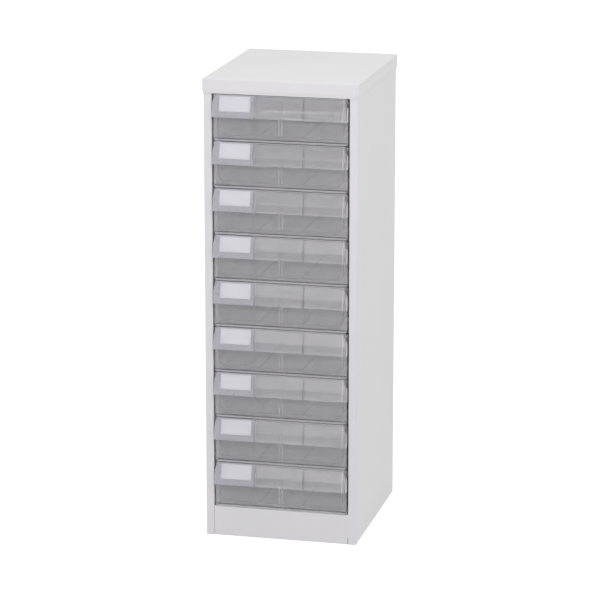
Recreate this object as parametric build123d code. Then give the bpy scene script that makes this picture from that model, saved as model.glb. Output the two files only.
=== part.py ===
from build123d import *
from math import atan2, cos, sin, tan
import os

# Floor-standing steel cabinet with nine clear drawers for A4 sheets.
# The front faces -Y, +X is to the right seen from the front, and +Z is up.
# The origin is on the floor, at the centre of everything the cabinet covers.

# Cabinet body
body_width = 291.0  # across the outer faces of the side panels
body_depth = 345.0  # from the face of the stiles to the back of the side panels
total_height = 880.0
sheet = 0.8  # steel of the outer panels
fold_radius = 1.8  # outer radius of a fold in a panel
stile_width = 15.5
stile_return = 18.0  # how far the stile turns back into the opening
rear_return = 15.0
seam = 0.4  # hairline between two panels
fit = 0.2  # clearance between pieces that are slid together
touch = 0.05  # clearance between faces that all but meet

# Top cap
cap_overhang = 2.0  # how far the cap stands proud of the body
cap_straight = 20.5  # height of the upright part of its flange
cap_lip = 7.0  # height of the lip below it, which turns in to the panels

# Header rail and plinth
header_flange = 22.0
header_height = 24.0
plinth_height = 58.0
plinth_top_return = 24.0
plinth_bottom_return = 16.0

# Floor pan, back panel and base rails
pan_flange = 14.0
back_flange = 18.0
rail_sheet = 1.2
rail_leg = 22.0

# Uprights and runners
frame_sheet = 1.0
upright_width = 26.0
upright_foot = 10.0
front_upright_setback = 28.0  # from the face of the stiles
rear_upright_setback = 62.0  # from the inside of the back panel
runner_rear_setback = 23.4  # from the inside of the back panel
runner_ledge = 4.4

# Drawer front
drawer_count = 9
front_recess = 1.0  # of the front plate behind the face of the stiles
front_side_gap = 3.0  # between the plate's end and the stile
front_thickness = 2.2
front_corner_radius = 3.0
front_gap_top = 1.2  # above the plate, to the top of its cell
front_gap_bottom = 0.6
bead_height = 4.2  # bead along the lower edge of the plate
bead_depth = 2.6
bead_chamfer = 0.9

# Hood to pull by
hood_side_gap = 2.0  # between the hood's end and the stile
hood_drop = 42.5  # from the top of the cell to the lower edge of the hood
crease_drop = 25.0
hood_reach = 11.0  # lower edge, in front of the stiles
crease_reach = 9.0
hood_top_reach = 1.6
hood_wall = 2.2
crease_radius = 12.0
lip_radius = 1.0  # of the hood's lower and upper edges
hood_end_draw = 6.0  # how far the ends draw in towards the top
hood_end_rise = 21.0  # height of that curve
hood_rib_x = 45.0
hood_rib_width = 1.6

# Label holder and card
holder_width = 78.0
holder_wall = 1.6
holder_top_reach = 0.6
holder_gap = 0.3  # beside the hood
card_width = 58.5
card_height = 28.5
card_thickness = 0.3
card_margin = 13.2  # from the left end of the holder
card_drop = 2.4  # below the top edge of the holder's face, along the slope
card_clearance = 0.15
guide_width = 1.2
guide_depth = 1.0

# Tray
tray_wall = 2.0
tray_taper = 2.0  # how far each side draws in from rim to floor
tray_corner_radius = 17.0
tray_rear_radius = 10.0
tray_rear_setback = 15.0  # rear wall, in front of the back panel
tray_lift = 10.0  # underside of the floor, above the bottom of the cell
tray_top_drop = 8.0  # rim, below the top of the cell
flange_side_gap = 4.0  # between the flange's edge and the stile
flange_overhang = 4.5  # how far the flange stands out from the tray's side
flange_thickness = 1.8
flange_skirt = 8.0  # height of the running edge, with the flange
floor_rib_x = 41.0
floor_rib_width = 1.4
floor_rib_height = 1.6
slot_width = 4.6  # for a loose divider
slot_rib_width = 1.2
slot_rib_depth = 4.0

# Running fit and stops
stop_setback = 29.8  # rear of the stop tab, behind the front end of its runner
running_gap = 0.3
side_running_gap = 0.6
stop_gap = 0.6
lug_height = 1.5
lug_length = 5.0
tab_length = 1.2

# Places that follow from the sizes above
half_body = body_width / 2
cap_height = cap_straight + cap_lip
front_y = -(body_depth + cap_overhang - hood_reach) / 2
rear_y = front_y + body_depth
back_face_y = rear_y - 2 * sheet  # inside face of the back panel
panel_top = total_height - sheet
opening_half = half_body - stile_width
front_width = 2 * (opening_half - front_side_gap)
hood_width = 2 * (opening_half - hood_side_gap)
opening_height = total_height - cap_height - plinth_height
cell = opening_height / drawer_count
plate_y = front_y + front_recess  # front face of the drawer's plate
plate_back_y = plate_y + front_thickness
plate_bottom = front_gap_bottom
plate_top = cell - front_gap_top
hood_bottom = cell - hood_drop
crease_z = cell - crease_drop
tray_rear_y = back_face_y - tray_rear_setback
tray_top = cell - tray_top_drop
tray_floor = tray_lift + tray_wall
flange_half = opening_half - flange_side_gap
tray_top_width = 2 * (flange_half - flange_overhang)
tray_bottom_width = tray_top_width - 2 * tray_taper
flange_end_y = tray_rear_y - tray_rear_radius
skirt_bottom = tray_top - flange_skirt
web_x = flange_half + side_running_gap  # inner face of a runner's web
upright_x = web_x + frame_sheet
runner_y = front_y + front_upright_setback
runner_end_y = back_face_y - runner_rear_setback
stop_y = runner_y + stop_setback  # rear face of the stop tab
travel = flange_end_y - lug_length - stop_gap - stop_y  # how far a drawer pulls out to its stop
holder_tilt = atan2(hood_reach - holder_top_reach, plate_top - hood_bottom)
card_left = -hood_width / 2 + card_margin


def folded(points, thickness, radius, plane=Plane.XY):
    """Section of a folded sheet: its outer line, thickened to the left of the way it runs."""
    line = FilletPolyline(*points, radius=radius) if len(points) > 2 else Polyline(*points)
    return plane * make_face(offset(line, amount=thickness, side=Side.LEFT))


def bar(x0, x1, y0, y1, z0, z1):
    return Pos((x0 + x1) / 2, (y0 + y1) / 2, (z0 + z1) / 2) * Box(x1 - x0, y1 - y0, z1 - z0)


# Profile drawn as (y, z) and run from x0 to x1, with round corners where radii names them
def along_x(points, x0, x1, radii=()):
    face = make_face(Polyline(*points, close=True))
    for corner, radius in radii:
        face = fillet(face.vertices().sort_by_distance(corner)[0], radius)
    return Pos(x0, 0, 0) * extrude(Plane.YZ * face, amount=x1 - x0)


def side_panel(side):
    points = [
        (opening_half, front_y + stile_return),
        (opening_half, front_y),
        (half_body, front_y),
        (half_body, rear_y),
        (half_body - rear_return, rear_y),
    ]
    panel = extrude(folded(points, sheet, fold_radius), amount=panel_top)
    return panel if side > 0 else mirror(panel, Plane.YZ)


def back_panel():
    points = [
        (back_face_y - back_flange, 0.0),
        (rear_y - sheet, 0.0),
        (rear_y - sheet, panel_top),
        (back_face_y - back_flange, panel_top),
    ]
    half = half_body - fold_radius - fit
    return Pos(-half, 0, 0) * extrude(folded(points, sheet, fold_radius, Plane.YZ), amount=2 * half)


def cap_block(inset):
    """The cap's outline, drawn in by inset on every face: an upright part on a lip that turns in."""
    width = body_width + 2 * (cap_overhang - inset)
    depth = body_depth + 2 * (cap_overhang - inset)
    turn_in = cap_overhang - sheet - touch
    knee = total_height - cap_straight
    corner = fold_radius + sheet - inset
    wide = RectangleRounded(width, depth, corner)
    narrow = RectangleRounded(width - 2 * turn_in, depth - 2 * turn_in, corner)
    upper = Pos(0, 0, knee) * extrude(wide, amount=cap_straight - inset)
    lip = loft([Pos(0, 0, total_height - cap_height) * narrow, Pos(0, 0, knee) * wide], ruled=True)
    return Pos(0, (front_y + rear_y) / 2, 0) * (upper + lip)


def top_cap():
    """Pressed lid, open below, with its top edge folded round."""
    outer = cap_block(0.0)
    rim = outer.faces().sort_by(Axis.Z)[-1].edges()
    return fillet(rim, fold_radius) - cap_block(sheet)


def header_rail():
    top = panel_top
    points = [
        (front_y + header_flange, top),
        (front_y, top),
        (front_y, top - header_height),
        (front_y + header_flange, top - header_height),
    ]
    half = opening_half - seam
    section = folded(points, sheet, fold_radius, Plane.YZ)
    return Pos(-half, 0, 0) * extrude(section, amount=2 * half)


def plinth_panel():
    points = [
        (front_y + plinth_top_return, plinth_height),
        (front_y, plinth_height),
        (front_y, 0.0),
        (front_y + plinth_bottom_return, 0.0),
    ]
    half = opening_half - seam
    section = folded(points, sheet, fold_radius, Plane.YZ)
    return Pos(-half, 0, 0) * extrude(section, amount=2 * half)


def floor_pan():
    half = half_body - sheet - fit
    top = plinth_height - sheet
    start = front_y + stile_return + fit
    points = [(half, top - pan_flange), (half, top), (-half, top), (-half, top - pan_flange)]
    section = folded(points, sheet, fold_radius, Plane.XZ)
    return Pos(0, back_face_y - fit, 0) * extrude(section, amount=back_face_y - fit - start)


def base_rail(side):
    outer = half_body - sheet - fit
    start = front_y + stile_return + fit
    stop = back_face_y - back_flange - fit
    points = [(outer - rail_leg, 0.0), (outer, 0.0), (outer, rail_leg)]
    section = folded(points, rail_sheet, fold_radius, Plane.XZ)
    rail = Pos(0, stop, 0) * extrude(section, amount=stop - start)
    return rail if side > 0 else mirror(rail, Plane.YZ)


def upright(side, y0):
    """Hat section: the feet lie flat on the side panel and the crown carries the runners."""
    y1 = y0 + upright_width
    seat = half_body - sheet
    crown = upright_x
    foot_face = seat - frame_sheet
    outline = [
        (seat, y0 - upright_foot),
        (seat, y0 + frame_sheet),
        (crown + frame_sheet, y0 + frame_sheet),
        (crown + frame_sheet, y1 - frame_sheet),
        (seat, y1 - frame_sheet),
        (seat, y1 + upright_foot),
        (foot_face, y1 + upright_foot),
        (foot_face, y1),
        (crown, y1),
        (crown, y0),
        (foot_face, y0),
        (foot_face, y0 - upright_foot),
    ]
    section = make_face(Polyline(*outline, close=True))
    foot_z = plinth_height - sheet
    post = Pos(0, 0, foot_z) * extrude(section, amount=panel_top - fit - foot_z)
    return post if side > 0 else mirror(post, Plane.YZ)


def runner(side, level):
    """Channel that holds the flange of one drawer, with the tab that stops it."""
    ledge_top = level + skirt_bottom - running_gap
    lip_under = level + tray_top + lug_height + running_gap
    inner = web_x - runner_ledge
    outline = [
        (inner, ledge_top - frame_sheet),
        (upright_x, ledge_top - frame_sheet),
        (upright_x, lip_under + frame_sheet),
        (inner, lip_under + frame_sheet),
        (inner, lip_under),
        (web_x, lip_under),
        (web_x, ledge_top),
        (inner, ledge_top),
    ]
    section = Plane.XZ * make_face(Polyline(*outline, close=True))
    channel = Pos(0, runner_end_y, 0) * extrude(section, amount=runner_end_y - runner_y)
    tab = bar(inner, web_x, stop_y - tab_length, stop_y, level + tray_top + running_gap, lip_under)
    part = channel + tab
    return part if side > 0 else mirror(part, Plane.YZ)


def front_outline(half, top, bottom, draw, rise):
    """Front view of the hood: upright ends that draw in along an arc towards the top."""
    shoulder = top - rise
    right = TangentArc((half, shoulder), (half - draw, top), tangent=(0, 1))
    left = TangentArc((-half, shoulder), (-half + draw, top), tangent=(0, 1))
    lines = [
        Line((-half, bottom), (half, bottom)),
        Line((half, bottom), (half, shoulder)),
        right,
        Line((half - draw, top), (-half + draw, top)),
        left,
        Line((-half, shoulder), (-half, bottom)),
    ]
    return make_face(Curve() + lines)


def hood_outline(inset):
    """Block that trims the hood and the label holder to their front view."""
    half = hood_width / 2 - inset
    bottom = hood_bottom - hood_wall - fit
    outline = front_outline(half, plate_top - inset, bottom, hood_end_draw, hood_end_rise)
    depth = plate_back_y - front_y + hood_reach + fit
    return Pos(0, plate_back_y, 0) * extrude(Plane.XZ * outline, amount=depth)


def hood():
    """Hood over the right two thirds: two facets, closed ends and a rib, open below."""
    left = -hood_width / 2 + holder_width + holder_gap
    right = hood_width / 2
    upper_edge = (front_y - hood_top_reach, plate_top)
    crease = (front_y - crease_reach, crease_z)
    lip = (front_y - hood_reach, hood_bottom)
    outer = [(plate_y, plate_top), upper_edge, crease, lip, (plate_y, hood_bottom)]
    rounds = [(upper_edge, lip_radius), (crease, crease_radius), (lip, lip_radius)]
    inner = [
        (plate_y, plate_top - hood_wall),
        (front_y - hood_top_reach + hood_wall / 2, plate_top - hood_wall),
        (front_y - crease_reach + hood_wall, crease_z),
        (front_y - hood_reach + hood_wall, hood_bottom - hood_wall),
        (plate_y, hood_bottom - hood_wall),
    ]
    rib = hood_rib_x - hood_rib_width / 2
    shell = along_x(outer, left, right, rounds) & hood_outline(0.0)
    pocket_left = along_x(inner, left + hood_wall, rib)
    pocket_right = along_x(inner, rib + hood_rib_width, right) & hood_outline(hood_wall)
    return shell - pocket_left - pocket_right


def tray_outline(wall):
    """Cross-section of the tray: tapered sides and a floor with round corners."""
    top = tray_top_width / 2 - wall
    bottom = tray_bottom_width / 2 - wall
    floor = tray_lift + wall
    points = [(-bottom, floor), (bottom, floor), (top, tray_top), (-top, tray_top)]
    face = make_face(Polyline(*points, close=True))
    corners = face.vertices().group_by(Axis.Y)[0]
    return fillet(corners, tray_corner_radius - wall)


def tray_block(wall):
    rear = tray_rear_y - wall
    block = Pos(0, rear, 0) * extrude(Plane.XZ * tray_outline(wall), amount=rear - plate_back_y)
    return block & rounded_plan(wall)


def tray_shell():
    return tray_block(0.0) - tray_block(tray_wall)


def rounded_plan(wall):
    """Upright block with the tray's round rear corners."""
    half = tray_top_width / 2 - wall
    radius = tray_rear_radius - wall
    rear = tray_rear_y - wall
    corners = [(-half, plate_back_y), (half, plate_back_y), (half, rear), (-half, rear)]
    plan = make_face(Polyline(*corners, close=True))
    plan = fillet(plan.vertices().group_by(Axis.Y)[-1], radius)
    return Pos(0, 0, tray_lift) * extrude(plan, amount=tray_top - tray_lift)


def flange(side):
    """Rim turned out and down to run in the runner, with the lug that meets the stop."""
    inner = tray_top_width / 2 - tray_wall
    outline = [
        (inner, tray_top - flange_thickness),
        (flange_half - flange_thickness, tray_top - flange_thickness),
        (flange_half - flange_thickness, skirt_bottom),
        (flange_half, skirt_bottom),
        (flange_half, tray_top),
        (inner, tray_top),
    ]
    start = plate_back_y - fit
    section = Plane.XZ * make_face(Polyline(*outline, close=True))
    run = Pos(0, flange_end_y, 0) * extrude(section, amount=flange_end_y - start)
    lug_x = flange_half - runner_ledge + fit
    lug_y = flange_end_y - lug_length
    part = run + bar(lug_x, flange_half, lug_y, flange_end_y, tray_top, tray_top + lug_height)
    return part if side > 0 else mirror(part, Plane.YZ)


def slot_ribs(y0, y1):
    """Pair of upright ribs that a loose divider slides between."""
    inner = slot_width / 2
    outer = inner + slot_rib_width
    z0 = tray_floor - tray_wall / 2
    z1 = tray_top - tray_wall
    return bar(inner, outer, y0, y1, z0, z1) + bar(-outer, -inner, y0, y1, z0, z1)


def floor_ribs():
    y0 = plate_back_y - fit
    y1 = tray_rear_y - tray_wall + fit
    z0 = tray_floor - tray_wall / 2
    z1 = tray_floor + floor_rib_height
    inner = floor_rib_x - floor_rib_width / 2
    outer = floor_rib_x + floor_rib_width / 2
    return bar(inner, outer, y0, y1, z0, z1) + bar(-outer, -inner, y0, y1, z0, z1)


def front_plate():
    height = plate_top - plate_bottom
    outline = RectangleRounded(front_width, height, front_corner_radius)
    outline = Pos(0, (plate_top + plate_bottom) / 2) * outline
    plate = Pos(0, plate_back_y, 0) * extrude(Plane.XZ * outline, amount=front_thickness)
    half = front_width / 2 - front_corner_radius
    face_y = plate_y - bead_depth
    bead_top = plate_bottom + bead_height
    bead = [
        (plate_y + fit, plate_bottom),
        (face_y + bead_chamfer, plate_bottom),
        (face_y, plate_bottom + bead_chamfer),
        (face_y, bead_top - bead_chamfer),
        (face_y + bead_chamfer, bead_top),
        (plate_y + fit, bead_top),
    ]
    return plate + along_x(bead, -half, half)


def drawer_tray():
    """One clear moulding: tray, front plate, hood, running flanges and ribs."""
    rear_wall = tray_rear_y - tray_wall
    tray = tray_shell() + front_plate() + hood()
    tray = tray + flange(1) + flange(-1) + floor_ribs()
    tray = tray + slot_ribs(plate_back_y - fit, plate_back_y + slot_rib_depth)
    return tray + slot_ribs(rear_wall - slot_rib_depth, rear_wall + fit)


def slope_y(z, depth):
    """Where the holder's sloped face lies at height z, or a line that far behind it."""
    return front_y - holder_top_reach - (plate_top - z) * tan(holder_tilt) + depth / cos(holder_tilt)


def on_slope(x0, x1, down0, down1, depth0, depth1):
    """Block set on the slope: across it, down from its top edge, and behind its face."""
    slope = Plane(
        origin=(0, front_y - holder_top_reach, plate_top),
        x_dir=(1, 0, 0),
        z_dir=(0, -cos(holder_tilt), sin(holder_tilt)),
    )
    return slope * bar(x0, x1, -down1, -down0, -depth1, -depth0)


def card_guides():
    """Ledge that the card stands on, and a guide at each end of it."""
    left = card_left - card_clearance
    right = card_left + card_width + card_clearance
    bottom = card_drop + card_height + card_clearance
    near = holder_wall - fit
    far = holder_wall + guide_depth
    to_plate = holder_top_reach + front_recess - fit
    start = (far / cos(holder_tilt) - to_plate) / sin(holder_tilt)  # where the guides clear the plate
    ledge = on_slope(left - guide_width, right + guide_width, bottom, bottom + guide_width, near, far)
    left_guide = on_slope(left - guide_width, left, start, bottom + fit, near, far)
    right_guide = on_slope(right, right + guide_width, start, bottom + fit, near, far)
    return ledge + left_guide + right_guide


def label_holder():
    """Clear wedge with a sloped face, closed below, and guides for the card behind the face."""
    left = -hood_width / 2
    right = left + holder_width
    back = plate_y - touch
    ceiling = plate_top - holder_wall
    floor = hood_bottom + holder_wall
    outer = [
        (back, plate_top),
        (slope_y(plate_top, 0), plate_top),
        (slope_y(hood_bottom, 0), hood_bottom),
        (back, hood_bottom),
    ]
    inner = [
        (back, ceiling),
        (slope_y(ceiling, holder_wall), ceiling),
        (slope_y(floor, holder_wall), floor),
        (back, floor),
    ]
    shell = along_x(outer, left, right) & hood_outline(0.0)
    hollow = along_x(inner, left, right - holder_wall) & hood_outline(holder_wall)
    return shell - hollow + card_guides()


def label_card():
    near = holder_wall + card_clearance
    far = near + card_thickness
    return on_slope(card_left, card_left + card_width, card_drop, card_drop + card_height, near, far)


def save(name, shape):
    export_step(shape, os.path.join("parts", name + ".step"))


def main():
    os.makedirs("parts", exist_ok=True)
    save("back_panel", back_panel())
    save("top_cap", top_cap())
    save("header_rail", header_rail())
    save("plinth_panel", plinth_panel())
    save("floor_pan", floor_pan())
    rear_upright_y = back_face_y - rear_upright_setback
    for name, side in (("left", -1), ("right", 1)):
        save("side_panel_" + name, side_panel(side))
        save("base_rail_" + name, base_rail(side))
        save("upright_front_" + name, upright(side, runner_y))
        save("upright_rear_" + name, upright(side, rear_upright_y))
    tray = drawer_tray()
    holder = label_holder()
    card = label_card()
    for number in range(1, drawer_count + 1):
        level = plinth_height + (drawer_count - number) * cell
        lift = Pos(0, 0, level)
        save(f"runner_left_{number}", runner(-1, level))
        save(f"runner_right_{number}", runner(1, level))
        save(f"drawer_tray_{number}", lift * tray)
        save(f"label_holder_{number}", lift * holder)
        save(f"label_card_{number}", lift * card)
    print(f"Each drawer pulls out {travel:.0f} mm to its stop.")


main()
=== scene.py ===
import bpy
import math
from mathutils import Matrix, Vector


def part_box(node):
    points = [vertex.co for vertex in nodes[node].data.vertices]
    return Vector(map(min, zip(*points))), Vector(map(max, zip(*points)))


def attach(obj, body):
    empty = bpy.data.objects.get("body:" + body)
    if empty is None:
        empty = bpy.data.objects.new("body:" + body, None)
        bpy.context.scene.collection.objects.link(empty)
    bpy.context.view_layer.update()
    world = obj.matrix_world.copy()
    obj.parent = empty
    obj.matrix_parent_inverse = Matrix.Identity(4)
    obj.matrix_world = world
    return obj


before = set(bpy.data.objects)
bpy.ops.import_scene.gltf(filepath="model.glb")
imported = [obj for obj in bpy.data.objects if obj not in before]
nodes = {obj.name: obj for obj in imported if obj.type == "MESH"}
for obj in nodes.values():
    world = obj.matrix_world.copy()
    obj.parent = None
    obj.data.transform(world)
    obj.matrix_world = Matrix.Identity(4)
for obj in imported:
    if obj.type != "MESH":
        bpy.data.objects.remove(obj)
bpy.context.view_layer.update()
print("frame loaded:", len(nodes), "nodes")


# Camera, as the photograph was taken: angles in radians, lens and sensor in mm, the rest in metres
cameraView = {
    "yaw": 0.233465, "pitch": 0.245803,
    "lens": 181.25, "sensor": 36,
    "distance": 5.7712, "aim": (-0.00563, 0.0045, 0.42781),
    "clipEnd": 30,
}


def makeCamera(view):
    look = Vector((-math.sin(view["yaw"]) * math.cos(view["pitch"]),
                   math.cos(view["yaw"]) * math.cos(view["pitch"]),
                   -math.sin(view["pitch"])))
    data = bpy.data.cameras.new("photoCamera")
    data.sensor_width = view["sensor"]
    data.lens = view["lens"]
    data.clip_end = view["clipEnd"]
    cam = bpy.data.objects.new("photoCamera", data)
    cam.location = Vector(view["aim"]) - look * view["distance"]
    cam.rotation_euler = (math.pi / 2 - view["pitch"], 0, view["yaw"])
    bpy.context.scene.collection.objects.link(cam)
    bpy.context.scene.camera = cam


makeCamera(cameraView)
print("camera placed")


# Node helpers
def newTree(name):
    mat = bpy.data.materials.new(name)
    mat.use_nodes = True
    tree = mat.node_tree
    shader = tree.nodes["Principled BSDF"]
    return mat, tree, shader


def put(tree, kind, **values):
    node = tree.nodes.new(kind)
    for key, value in values.items():
        setattr(node, key, value)
    return node


def objectPlace(tree, scale=(1, 1, 1)):
    coord = put(tree, "ShaderNodeTexCoord")
    mapping = put(tree, "ShaderNodeMapping")
    mapping.inputs["Scale"].default_value = scale
    tree.links.new(coord.outputs["Object"], mapping.inputs["Vector"])
    return mapping.outputs["Vector"]


def noise(tree, place, scale, detail=2.0, rough=0.5):
    node = put(tree, "ShaderNodeTexNoise")
    node.inputs["Scale"].default_value = scale
    node.inputs["Detail"].default_value = detail
    node.inputs["Roughness"].default_value = rough
    tree.links.new(place, node.inputs["Vector"])
    return node.outputs["Fac"]


def spread(tree, value, low, high, start=0.3, end=0.7):  # most of a noise lies between 0.3 and 0.7
    node = put(tree, "ShaderNodeMapRange")
    node.inputs["From Min"].default_value = start
    node.inputs["From Max"].default_value = end
    node.inputs["To Min"].default_value = low
    node.inputs["To Max"].default_value = high
    tree.links.new(value, node.inputs["Value"])
    return node.outputs["Result"]


def twoTone(tree, value, finish, start=0.35, end=0.65):
    node = put(tree, "ShaderNodeValToRGB")
    band = node.color_ramp.elements
    band[0].position, band[0].color = start, finish["deep"]
    band[1].position, band[1].color = end, finish["pale"]
    tree.links.new(value, node.inputs["Fac"])
    return node.outputs["Color"]


def bump(tree, shader, height, depth, level, edge=0.0):
    node = put(tree, "ShaderNodeBump")
    node.inputs["Strength"].default_value = level
    node.inputs["Distance"].default_value = depth
    tree.links.new(height, node.inputs["Height"])
    if edge > 0:  # rounds the sharp edges for the light only
        bevel = put(tree, "ShaderNodeBevel", samples=6)
        bevel.inputs["Radius"].default_value = edge
        tree.links.new(bevel.outputs["Normal"], node.inputs["Normal"])
    tree.links.new(node.outputs["Normal"], shader.inputs["Normal"])


def mathNode(tree, kind, first, second=None):
    node = put(tree, "ShaderNodeMath", operation=kind)
    for socket, value in zip(node.inputs, (first, second)):
        if isinstance(value, (int, float)):
            socket.default_value = value
        elif value is not None:
            tree.links.new(value, socket)
    return node.outputs[0]


def smoothStep(tree, value, start, end):
    node = put(tree, "ShaderNodeMapRange", interpolation_type="SMOOTHSTEP")
    node.inputs["From Min"].default_value = start
    node.inputs["From Max"].default_value = end
    tree.links.new(value, node.inputs["Value"])
    return node.outputs["Result"]


def above(tree, value, low, soft):
    return smoothStep(tree, value, low - soft, low + soft)


def between(tree, value, low, high, soft):
    fall = smoothStep(tree, value, high + soft, high - soft)
    return mathNode(tree, "MULTIPLY", above(tree, value, low, soft), fall)


def nearLine(tree, value, middle, half, soft):
    return between(tree, value, middle - half, middle + half, soft)


def blend(tree, mask, first, second, kind="FLOAT"):
    node = put(tree, "ShaderNodeMix", data_type=kind)
    place = {"FLOAT": (2, 3, 0), "RGBA": (6, 7, 2)}[kind]
    tree.links.new(mask, node.inputs[0])
    for at, value in zip(place[:2], (first, second)):
        if isinstance(value, (int, float, tuple)):
            node.inputs[at].default_value = value
        else:
            tree.links.new(value, node.inputs[at])
    return node.outputs[place[2]]


# One drawer's cell, read from the frame: heights in it run down from the top edge of the drawer's front
trayLow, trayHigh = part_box("drawer_tray_1")
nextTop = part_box("drawer_tray_2")[1].z
cardLow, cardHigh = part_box("label_card_1")
cell = {
    "top": trayHigh.z, "pitch": trayHigh.z - nextTop, "foot": trayHigh.z - trayLow.z,
    "cardLeft": cardLow.x, "cardRight": cardHigh.x,
    "cardTop": trayHigh.z - cardHigh.z, "cardBottom": trayHigh.z - cardLow.z,
    "hoodEnd": trayHigh.x,
}


def cellPlace(tree):  # across the cabinet, down in the cell, and front to back
    coord = put(tree, "ShaderNodeTexCoord")
    split = put(tree, "ShaderNodeSeparateXYZ")
    tree.links.new(coord.outputs["Object"], split.inputs["Vector"])
    drop = mathNode(tree, "SUBTRACT", cell["top"] + cell["pitch"], split.outputs["Z"])
    return split.outputs["X"], mathNode(tree, "MODULO", drop, cell["pitch"]), split.outputs["Y"]


# White powder coat on the folded steel. A noise is given by its scale, detail and roughness.
coat = {
    "pale": (0.80, 0.80, 0.79, 1), "deep": (0.775, 0.78, 0.765, 1), "tint": (5.0, 3.0),
    "peel": (900.0, 2.0, 0.6), "peelDepth": 0.00004, "peelLevel": 0.5,
    "rough": (0.34, 0.46), "shine": 0.45, "edge": 0.0007,
}


def powderCoat():
    mat, tree, shader = newTree("powderCoat")
    place = objectPlace(tree)
    tint = noise(tree, place, *coat["tint"])
    tree.links.new(twoTone(tree, tint, coat), shader.inputs["Base Color"])
    peel = noise(tree, place, *coat["peel"])
    tree.links.new(spread(tree, peel, *coat["rough"]), shader.inputs["Roughness"])
    bump(tree, shader, peel, coat["peelDepth"], coat["peelLevel"], coat["edge"])
    shader.inputs["Specular IOR Level"].default_value = coat["shine"]
    return mat


# Dull zinc on the runners
zinc = {
    "pale": (0.62, 0.63, 0.64, 1), "deep": (0.46, 0.47, 0.48, 1), "metal": 0.8,
    "grain": (160.0, 4.0), "grainDepth": 0.00002, "grainLevel": 0.4,
    "rough": (0.38, 0.55), "edge": 0.0003,
}


def zincSteel():
    mat, tree, shader = newTree("zincSteel")
    grain = noise(tree, objectPlace(tree), *zinc["grain"])
    tree.links.new(twoTone(tree, grain, zinc), shader.inputs["Base Color"])
    tree.links.new(spread(tree, grain, *zinc["rough"]), shader.inputs["Roughness"])
    bump(tree, shader, grain, zinc["grainDepth"], zinc["grainLevel"], zinc["edge"])
    shader.inputs["Metallic"].default_value = zinc["metal"]
    return mat


# Clear moulded plastic: a little haze in it makes the facets, ribs and edges show; hazier bands paint
# light over the shade in its gaps, hollows and corners and a highlight on the hood's ends. Lengths in
# metres.
clear = {
    "pale": (0.965, 0.962, 0.98, 1), "deep": (0.93, 0.927, 0.945, 1), "index": 1.57,
    "flow": (22.0, 3.0), "flowSquash": (1.0, 1.0, 4.0), "flowDepth": 0.0004, "flowLevel": 0.25,
    "rough": (0.05, 0.09), "edge": 0.0010, "haze": 0.195,
    "fine": 0.0002, "soft": 0.0003, "wide": 0.001,  # how softly a line ends
    "hoodDrop": 0.0412, "hoodHaze": 0.137,
    "ribX": 0.045, "ribHalf": 0.0009, "ribTint": (0.86, 0.86, 0.885, 1),
    # the last two on the next line: a painted highlight along the hood's end edge
    "endWall": 0.0029, "wallHalf": 0.0006, "endHighlightWidth": 0.0007, "endHighlightHaze": 0.8,
    # a painted light line in the hollow where the hood meets the label holder's wall
    "jointX": -0.0487, "jointHalf": 0.0013, "jointPaintedLightHaze": 0.30,
    "guideInner": 0.0021, "guideOuter": 0.0037, "guideHaze": 0.33,
    # these two lines: a lighter band painted over the shade where the tray's walls and floor meet the
    # plate
    "rootHalf": 0.1195, "rootFoot": 0.0094, "rootRound": 0.017, "rootTaper": 0.0284,
    "rootInner": 0.0026, "rootOuter": 0.0002, "rootSoft": 0.0007, "rootPaintedLightHaze": 0.28,
    # the dark tint is a painted shade line above the bead; the bead itself is hazier
    "beadTop": 0.0044, "beadShadeLine": 0.0008, "shadeLineTint": (0.45, 0.45, 0.47, 1), "beadHaze": 0.32,
    # a painted light band on the plate's top and bottom edges, lifting the shade in the gaps between
    # drawers
    "rimTop": 0.0005, "rimFoot": 0.0004, "rimSoft": 0.0001, "rimPaintedLightHaze": 0.75,
    "plateBack": -0.1645, "trayHaze": 0.07,
    # a painted light band near the plate's ends, lifting the shade in the notch and the side gaps
    "sideBand": 0.0065, "sideSoft": 0.0004, "sideFront": -0.1678, "sidePaintedLightHaze": 0.20,
}


def trayRoot(tree, across, drop):  # the rounded band where the tray's walls and floor meet the plate; its extra haze paints light over the shade along that corner
    rise = mathNode(tree, "SUBTRACT", cell["foot"], drop)
    lean = mathNode(tree, "MULTIPLY", rise, clear["rootTaper"])
    wide = mathNode(tree, "SUBTRACT", mathNode(tree, "ABSOLUTE", across), lean)
    wide = mathNode(tree, "SUBTRACT", wide, clear["rootHalf"] - clear["rootRound"])
    wide = mathNode(tree, "MAXIMUM", wide, 0.0)
    low = mathNode(tree, "SUBTRACT", clear["rootFoot"] + clear["rootRound"], rise)
    low = mathNode(tree, "MAXIMUM", low, 0.0)
    wideSquare = mathNode(tree, "MULTIPLY", wide, wide)
    lowSquare = mathNode(tree, "MULTIPLY", low, low)
    away = mathNode(tree, "SQRT", mathNode(tree, "ADD", wideSquare, lowSquare))
    inner = clear["rootRound"] - clear["rootInner"]
    outer = clear["rootRound"] + clear["rootOuter"]
    return between(tree, away, inner, outer, clear["rootSoft"])


def mouldedToneAndShadeLine(tree, flow, across, drop, onHood):  # darker lines: the hood's rib and its end wall, and a painted shade line above the bead
    ribLine = nearLine(tree, across, clear["ribX"], clear["ribHalf"], clear["soft"])
    wallLine = nearLine(tree, across, cell["hoodEnd"] - clear["endWall"], clear["wallHalf"], clear["soft"])
    hoodLines = mathNode(tree, "MULTIPLY", onHood, mathNode(tree, "MAXIMUM", ribLine, wallLine))
    # painted shade: a dark line above the bead, partly the tray floor's edge seen through the plate,
    # partly the shadow beneath it
    beadShadeLine = nearLine(tree, drop, cell["foot"] - clear["beadTop"], clear["beadShadeLine"], clear["fine"])
    tone = blend(tree, hoodLines, twoTone(tree, flow, clear), clear["ribTint"], "RGBA")
    return blend(tree, beadShadeLine, tone, clear["shadeLineTint"], "RGBA")


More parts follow.
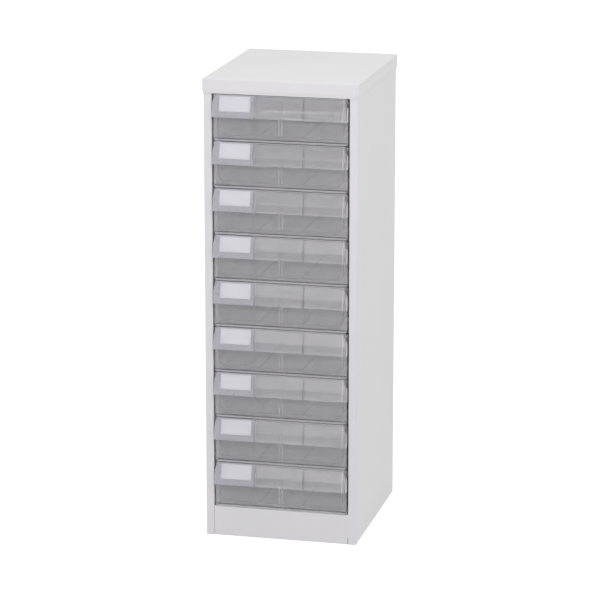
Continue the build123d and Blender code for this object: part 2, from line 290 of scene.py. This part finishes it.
def hazeAndPaintedLight(tree, across, drop, deep, onHood):
    half = mathNode(tree, "ABSOLUTE", across)
    guide = between(tree, half, clear["guideInner"], clear["guideOuter"], clear["fine"])
    guide = mathNode(tree, "MULTIPLY", guide, above(tree, drop, clear["hoodDrop"], clear["wide"]))
    beadTop = cell["foot"] - clear["beadTop"] + clear["beadShadeLine"]
    bead = between(tree, drop, beadTop, cell["foot"] + clear["wide"], clear["fine"])
    # painted light: a hazier line where the hood meets the label holder's wall lifts the shade in that
    # hollow
    joint = nearLine(tree, across, clear["jointX"], clear["jointHalf"], clear["soft"])
    # painted highlight: a strip of strong haze along the hood's end edge, where its rounded corner would
    # catch the light
    hoodEnd = above(tree, across, cell["hoodEnd"] - clear["endHighlightWidth"], clear["fine"])
    # painted light: strong haze on the plate's top and bottom edges lifts the shade in the gaps between
    # drawers
    plateFoot = cell["foot"] - clear["rimFoot"]
    offRim = between(tree, drop, clear["rimTop"], plateFoot, clear["rimSoft"])
    # painted light: more haze near the plate's ends lifts the shade in the notch and the side gaps
    side = above(tree, half, cell["hoodEnd"] - clear["sideBand"], clear["sideSoft"])
    behindRim = above(tree, deep, clear["sideFront"], clear["fine"])
    layers = [
        (guide, "guideHaze"),
        (trayRoot(tree, across, drop), "rootPaintedLightHaze"),
        (bead, "beadHaze"),
        (mathNode(tree, "MULTIPLY", onHood, joint), "jointPaintedLightHaze"),
        (mathNode(tree, "MULTIPLY", onHood, hoodEnd), "endHighlightHaze"),
        (mathNode(tree, "SUBTRACT", 1.0, offRim), "rimPaintedLightHaze"),
        (above(tree, deep, clear["plateBack"], clear["soft"]), "trayHaze"),
        (mathNode(tree, "MULTIPLY", side, behindRim), "sidePaintedLightHaze"),
    ]
    haze = blend(tree, onHood, clear["haze"], clear["hoodHaze"])
    for mask, level in layers:
        haze = blend(tree, mask, haze, clear[level])
    return haze


def clearPlastic():
    mat, tree, shader = newTree("clearPlastic")
    flow = noise(tree, objectPlace(tree, clear["flowSquash"]), *clear["flow"])
    across, drop, deep = cellPlace(tree)
    onHood = between(tree, drop, 0.0, clear["hoodDrop"], clear["wide"])
    tree.links.new(mouldedToneAndShadeLine(tree, flow, across, drop, onHood), shader.inputs["Base Color"])
    tree.links.new(spread(tree, flow, *clear["rough"]), shader.inputs["Roughness"])
    bump(tree, shader, flow, clear["flowDepth"], clear["flowLevel"], clear["edge"])
    shader.inputs["IOR"].default_value = clear["index"]
    haze = hazeAndPaintedLight(tree, across, drop, deep, onHood)
    tree.links.new(mathNode(tree, "SUBTRACT", 1.0, haze), shader.inputs["Transmission Weight"])
    return mat


# Cover over the card: a clear window with frosted strips round it
cover = {
    "pale": (0.84, 0.84, 0.87, 1), "deep": (0.76, 0.76, 0.80, 1), "windowTone": (0.985, 0.985, 0.995, 1),
    "windowHaze": 0.03, "frostHaze": 0.36, "index": 1.49,
    "frost": (1500.0, 2.0), "frostDepth": 0.00002, "frostLevel": 0.3, "toneBand": (0.3, 0.7),
    "rough": 0.30, "roughBand": 0.06, "soft": 0.0003,
}


def labelCover():
    mat, tree, shader = newTree("labelCover")
    frost = noise(tree, objectPlace(tree), *cover["frost"])
    across, drop, _ = cellPlace(tree)
    wide = between(tree, across, cell["cardLeft"], cell["cardRight"], cover["soft"])
    high = between(tree, drop, cell["cardTop"], cell["cardBottom"], cover["soft"])
    window = mathNode(tree, "MULTIPLY", wide, high)
    tone = twoTone(tree, frost, cover, *cover["toneBand"])
    tone = blend(tree, window, tone, cover["windowTone"], "RGBA")
    tree.links.new(tone, shader.inputs["Base Color"])
    frosted = spread(tree, frost, cover["rough"] - cover["roughBand"], cover["rough"] + cover["roughBand"])
    tree.links.new(blend(tree, window, frosted, cover["rough"]), shader.inputs["Roughness"])
    bump(tree, shader, frost, cover["frostDepth"], cover["frostLevel"])
    shader.inputs["IOR"].default_value = cover["index"]
    through = blend(tree, window, 1 - cover["frostHaze"], 1 - cover["windowHaze"])
    tree.links.new(through, shader.inputs["Transmission Weight"])
    return mat


# Plain card, no print
card = {
    "pale": (0.845, 0.845, 0.87, 1), "deep": (0.805, 0.805, 0.83, 1),
    "fibre": (700.0, 5.0, 0.65), "fibreSquash": (1.0, 1.0, 2.2), "fibreDepth": 0.00003, "fibreLevel": 0.5,
    "rough": (0.72, 0.86),
}


def whiteCard():
    mat, tree, shader = newTree("whiteCard")
    fibre = noise(tree, objectPlace(tree, card["fibreSquash"]), *card["fibre"])
    tree.links.new(twoTone(tree, fibre, card), shader.inputs["Base Color"])
    tree.links.new(spread(tree, fibre, *card["rough"]), shader.inputs["Roughness"])
    bump(tree, shader, fibre, card["fibreDepth"], card["fibreLevel"])
    return mat


finishes = {"powder": powderCoat(), "zinc": zincSteel(), "clear": clearPlastic(),
            "cover": labelCover(), "card": whiteCard()}
nodeFinish = {"runner": "zinc", "drawer_tray": "clear", "label_holder": "cover", "label_card": "card"}
for name, obj in nodes.items():
    finish = next((f for start, f in nodeFinish.items() if name.startswith(start)), "powder")
    for slot in obj.material_slots:
        slot.material = finishes[finish]
print("finishes on the frame's nodes")


# Rivets down the rear returns of the side panels, one row on each side
rivet = {"head": 0.0028, "rise": 0.0009, "pitch": 0.12, "inset": 0.0072, "first": 0.06, "count": 7,
         "segments": 16, "rings": 8}


def rivetTree():
    tree = bpy.data.node_groups.new("rivetRow", "GeometryNodeTree")
    face = tree.interface
    face.new_socket("Geometry", in_out="OUTPUT", socket_type="NodeSocketGeometry")
    kinds = {"Head Radius": "Float", "Rise": "Float", "Pitch": "Float", "Count": "Int",
             "Start": "Vector", "Other Side": "Vector", "Finish": "Material"}
    for label, kind in kinds.items():
        face.new_socket(label, in_out="INPUT", socket_type="NodeSocket" + kind)
    link = tree.links.new
    ins = put(tree, "NodeGroupInput").outputs
    out = put(tree, "NodeGroupOutput")
    ball = put(tree, "GeometryNodeMeshUVSphere")
    ball.inputs["Segments"].default_value = rivet["segments"]
    ball.inputs["Rings"].default_value = rivet["rings"]
    link(ins["Head Radius"], ball.inputs["Radius"])
    flat = put(tree, "ShaderNodeMath", operation="DIVIDE")
    link(ins["Rise"], flat.inputs[0])
    link(ins["Head Radius"], flat.inputs[1])
    squash = put(tree, "ShaderNodeCombineXYZ")
    squash.inputs["X"].default_value = squash.inputs["Z"].default_value = 1.0
    link(flat.outputs[0], squash.inputs["Y"])
    shape = put(tree, "GeometryNodeTransform")
    link(ball.outputs["Mesh"], shape.inputs["Geometry"])
    link(squash.outputs["Vector"], shape.inputs["Scale"])
    step = put(tree, "ShaderNodeCombineXYZ")
    link(ins["Pitch"], step.inputs["Z"])
    join = put(tree, "GeometryNodeJoinGeometry")
    for start in ("Start", "Other Side"):
        line = put(tree, "GeometryNodeMeshLine", mode="OFFSET")
        link(ins["Count"], line.inputs["Count"])
        link(ins[start], line.inputs["Start Location"])
        link(step.outputs["Vector"], line.inputs["Offset"])
        link(line.outputs["Mesh"], join.inputs["Geometry"])
    copies = put(tree, "GeometryNodeInstanceOnPoints")
    link(join.outputs["Geometry"], copies.inputs["Points"])
    link(shape.outputs["Geometry"], copies.inputs["Instance"])
    real = put(tree, "GeometryNodeRealizeInstances")
    link(copies.outputs["Instances"], real.inputs["Geometry"])
    smooth = put(tree, "GeometryNodeSetShadeSmooth")
    link(real.outputs["Geometry"], smooth.inputs["Geometry"])
    paint = put(tree, "GeometryNodeSetMaterial")
    link(smooth.outputs["Geometry"], paint.inputs["Geometry"])
    link(ins["Finish"], paint.inputs["Material"])
    link(paint.outputs["Geometry"], out.inputs["Geometry"])
    return tree


def grow(name, tree, values, body):
    holder = bpy.data.objects.new(name + "Grower", bpy.data.meshes.new(name + "Seed"))
    bpy.context.scene.collection.objects.link(holder)
    modifier = holder.modifiers.new("grow", "NODES")
    modifier.node_group = tree
    sockets = {s.name: s.identifier for s in tree.interface.items_tree if s.in_out == "INPUT"}
    for key, value in values.items():
        modifier[sockets[key]] = value
    graph = bpy.context.evaluated_depsgraph_get()
    mesh = bpy.data.meshes.new_from_object(holder.evaluated_get(graph), depsgraph=graph)
    holder.modifiers.clear()
    bpy.data.objects.remove(holder)
    piece = bpy.data.objects.new(name, mesh)
    bpy.context.scene.collection.objects.link(piece)
    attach(piece, body)
    return piece


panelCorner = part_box("side_panel_right")[1]
rearFace = panelCorner.y
rivetX = panelCorner.x - rivet["inset"]
rearRivets = grow("rear_rivets", rivetTree(), {
    "Head Radius": rivet["head"], "Rise": rivet["rise"], "Pitch": rivet["pitch"], "Count": rivet["count"],
    "Start": (rivetX, rearFace, rivet["first"]), "Other Side": (-rivetX, rearFace, rivet["first"]),
    "Finish": finishes["powder"]}, "cabinet")
print("rivets made")


# Floor and world: both look white to the camera and in mirrors, and give a plain, softer light
studio = {
    "floorSize": 12.0, "floorColor": (0.45, 0.45, 0.45, 1), "floorGrain": 300.0, "floorRough": (0.9, 0.95),
    "floorGlow": 0.20, "floorWhite": 0.80, "skyWhite": 1.0,
    "skyUp": 0.80, "skyDown": 0.575, "skyBand": (-0.3, 0.9),
    "sideTint": (0.995, 1.0, 0.99, 1), "frontTint": (1.0, 0.965, 1.065, 1), "frontBand": (-1.4, -0.5, 0.4),
}


def seenRay(tree):
    path = put(tree, "ShaderNodeLightPath")
    seen = mathNode(tree, "MAXIMUM", path.outputs["Is Camera Ray"], path.outputs["Is Glossy Ray"])
    return mathNode(tree, "MAXIMUM", seen, path.outputs["Is Transmission Ray"])


def makeFloor():
    half = studio["floorSize"]
    corners = [(-half, -half, 0), (half, -half, 0), (half, half, 0), (-half, half, 0)]
    mesh = bpy.data.meshes.new("studioFloor")
    mesh.from_pydata(corners, [], [(0, 1, 2, 3)])
    floor = bpy.data.objects.new("studioFloor", mesh)
    bpy.context.scene.collection.objects.link(floor)
    mat, tree, shader = newTree("studioPaper")
    grain = noise(tree, objectPlace(tree), studio["floorGrain"])
    tree.links.new(spread(tree, grain, *studio["floorRough"]), shader.inputs["Roughness"])
    shader.inputs["Base Color"].default_value = studio["floorColor"]
    shader.inputs["Specular IOR Level"].default_value = 0.0
    shader.inputs["Emission Color"].default_value = (1, 1, 1, 1)
    glow = blend(tree, seenRay(tree), studio["floorGlow"], studio["floorWhite"])
    tree.links.new(glow, shader.inputs["Emission Strength"])
    mesh.materials.append(mat)


def makeWorld():
    world = bpy.data.worlds.new("studioWorld")
    bpy.context.scene.world = world
    world.use_nodes = True
    tree = world.node_tree
    tree.nodes.clear()
    coord = put(tree, "ShaderNodeTexCoord")
    split = put(tree, "ShaderNodeSeparateXYZ")
    tree.links.new(coord.outputs["Generated"], split.inputs["Vector"])
    level = spread(tree, split.outputs["Z"], studio["skyDown"], studio["skyUp"], *studio["skyBand"])
    ahead = between(tree, split.outputs["Y"], *studio["frontBand"])
    tint = blend(tree, ahead, studio["sideTint"], studio["frontTint"], "RGBA")
    soft = put(tree, "ShaderNodeBackground")
    tree.links.new(tint, soft.inputs["Color"])
    tree.links.new(level, soft.inputs["Strength"])
    white = put(tree, "ShaderNodeBackground")
    white.inputs["Color"].default_value = (1, 1, 1, 1)
    white.inputs["Strength"].default_value = studio["skyWhite"]
    mix = put(tree, "ShaderNodeMixShader")
    tree.links.new(seenRay(tree), mix.inputs["Fac"])
    tree.links.new(soft.outputs[0], mix.inputs[1])
    tree.links.new(white.outputs[0], mix.inputs[2])
    out = put(tree, "ShaderNodeOutputWorld")
    tree.links.new(mix.outputs[0], out.inputs["Surface"])


def makeLamp(name, place, aim, size, watts, color, glossy):
    data = bpy.data.lights.new(name, "AREA")
    data.shape = "RECTANGLE"
    data.size, data.size_y = size
    data.energy = watts
    data.color = color
    lamp = bpy.data.objects.new(name, data)
    lamp.location = place
    lamp.rotation_euler = (Vector(aim) - Vector(place)).to_track_quat("-Z", "Y").to_euler()
    lamp.visible_glossy = glossy
    bpy.context.scene.collection.objects.link(lamp)


# Soft light from the front left, as a stack of strips: the hoods mirror it, one height for each drawer
frontLight = {
    "turn": -0.234, "distance": 4.3, "width": 2.6, "aim": (0, -0.17, 0.45), "color": (1.0, 0.97, 1.0),
    "first": 0.202, "step": 0.0342, "levels": (0.35, 1.05, 1.25, 1.5, 0.95, 1.25, 0.15),
    "creaseRise": 0.147, "creaseStep": 0.035, "creaseLevel": 3.7,
}

# Two small lamps that no mirror shows
fillLights = {
    "topFront": {"place": (0.35, -1.5, 1.75), "aim": (0, -0.17, 0.85), "size": (0.9, 0.5),
                 "watts": 7.2, "color": (1.0, 0.955, 1.08)},
    "sideTop": {"place": (1.0, 0.0, 1.35), "aim": (0.14, 0, 0.8), "size": (0.6, 0.6),
                "watts": 0.9, "color": (1.0, 1.0, 1.0)},
}


def makeFrontLight(light):
    strips = []
    for k, level in enumerate(light["levels"]):
        strips.append((light["first"] + k * light["step"], light["step"], level))
    strips.append((light["creaseRise"], light["creaseStep"], light["creaseLevel"]))
    for rise, step, level in strips:
        height = light["distance"] * step
        watts = math.pi * light["width"] * height * level
        away = light["distance"] * math.cos(rise)
        up = light["aim"][2] + light["distance"] * math.sin(rise)
        place = (away * math.sin(light["turn"]), -away * math.cos(light["turn"]), up)
        makeLamp("frontStrip", place, light["aim"], (light["width"], height), watts, light["color"], True)


makeFloor()
makeWorld()
makeFrontLight(frontLight)
for name, light in fillLights.items():
    makeLamp(name, glossy=False, **light)

# Clear plastic needs many bounces
bounces = {"max_bounces": 24, "diffuse_bounces": 14, "glossy_bounces": 14, "transmission_bounces": 24,
           "transparent_max_bounces": 24}
scene = bpy.context.scene
scene.view_settings.view_transform = "Standard"
for key, value in bounces.items():
    setattr(scene.cycles, key, value)
print("studio ready")
